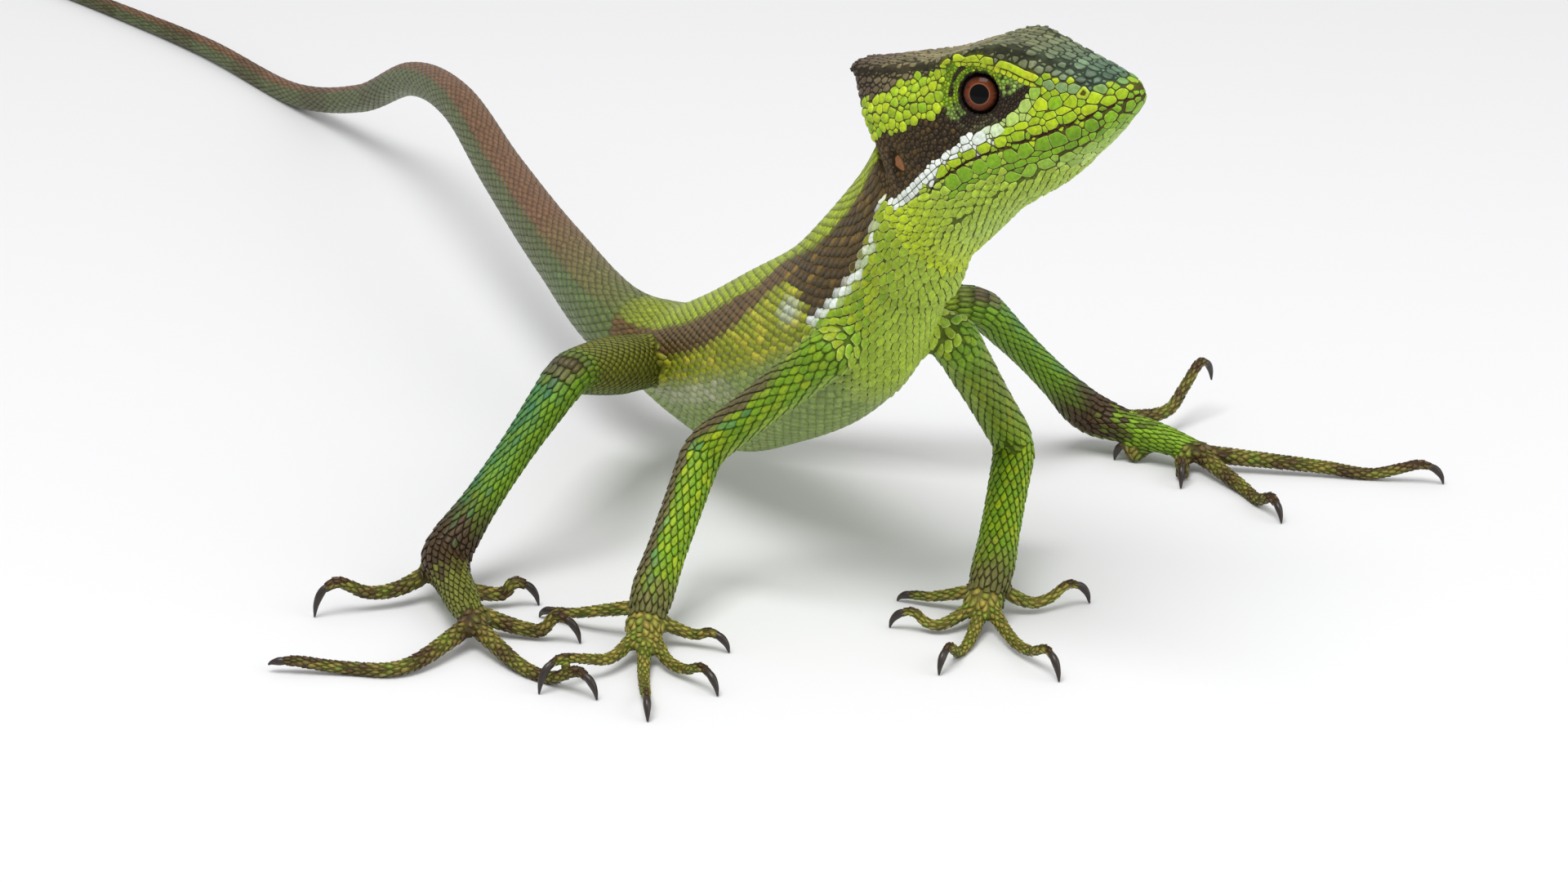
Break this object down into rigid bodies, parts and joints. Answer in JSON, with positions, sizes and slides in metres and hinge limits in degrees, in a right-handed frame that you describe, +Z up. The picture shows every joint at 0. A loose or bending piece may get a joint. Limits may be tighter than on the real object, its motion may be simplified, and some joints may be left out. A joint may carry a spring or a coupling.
{
  "type": "casquehead iguana",
  "caption": "Green casquehead iguana as a still, life-size model, standing on spread legs with its chest and head raised and its long tail laid out behind.",
  "frame": {"origin": "on the floor, below the middle of the bounding box", "axes": "+X forward along the trunk, away from the tail; +Y to the animal's left; +Z up"},
  "size_m": [0.489, 0.1634, 0.0779],
  "materials": {
    "skin": "scaly, satin",
    "eye": "gloss",
    "claw": "satin horn"
  },
  "bodies": {
    "root": {"head": "skin", "lower_jaw": "skin", "eye_left": "eye", "eye_right": "eye", "neck": "skin", "torso": "skin", "tail_1": "skin", "tail_2": "skin", "tail_3": "skin", "tail_4": "skin", "tail_5": "skin", "tail_6": "skin", "upper_arm_left": "skin", "forearm_left": "skin", "hand_left": "skin", "thigh_left": "skin", "shank_left": "skin", "foot_left": "skin", "upper_arm_right": "skin", "forearm_right": "skin", "hand_right": "skin", "thigh_right": "skin", "shank_right": "skin", "foot_right": "skin"}
  },
  "joints": []
}
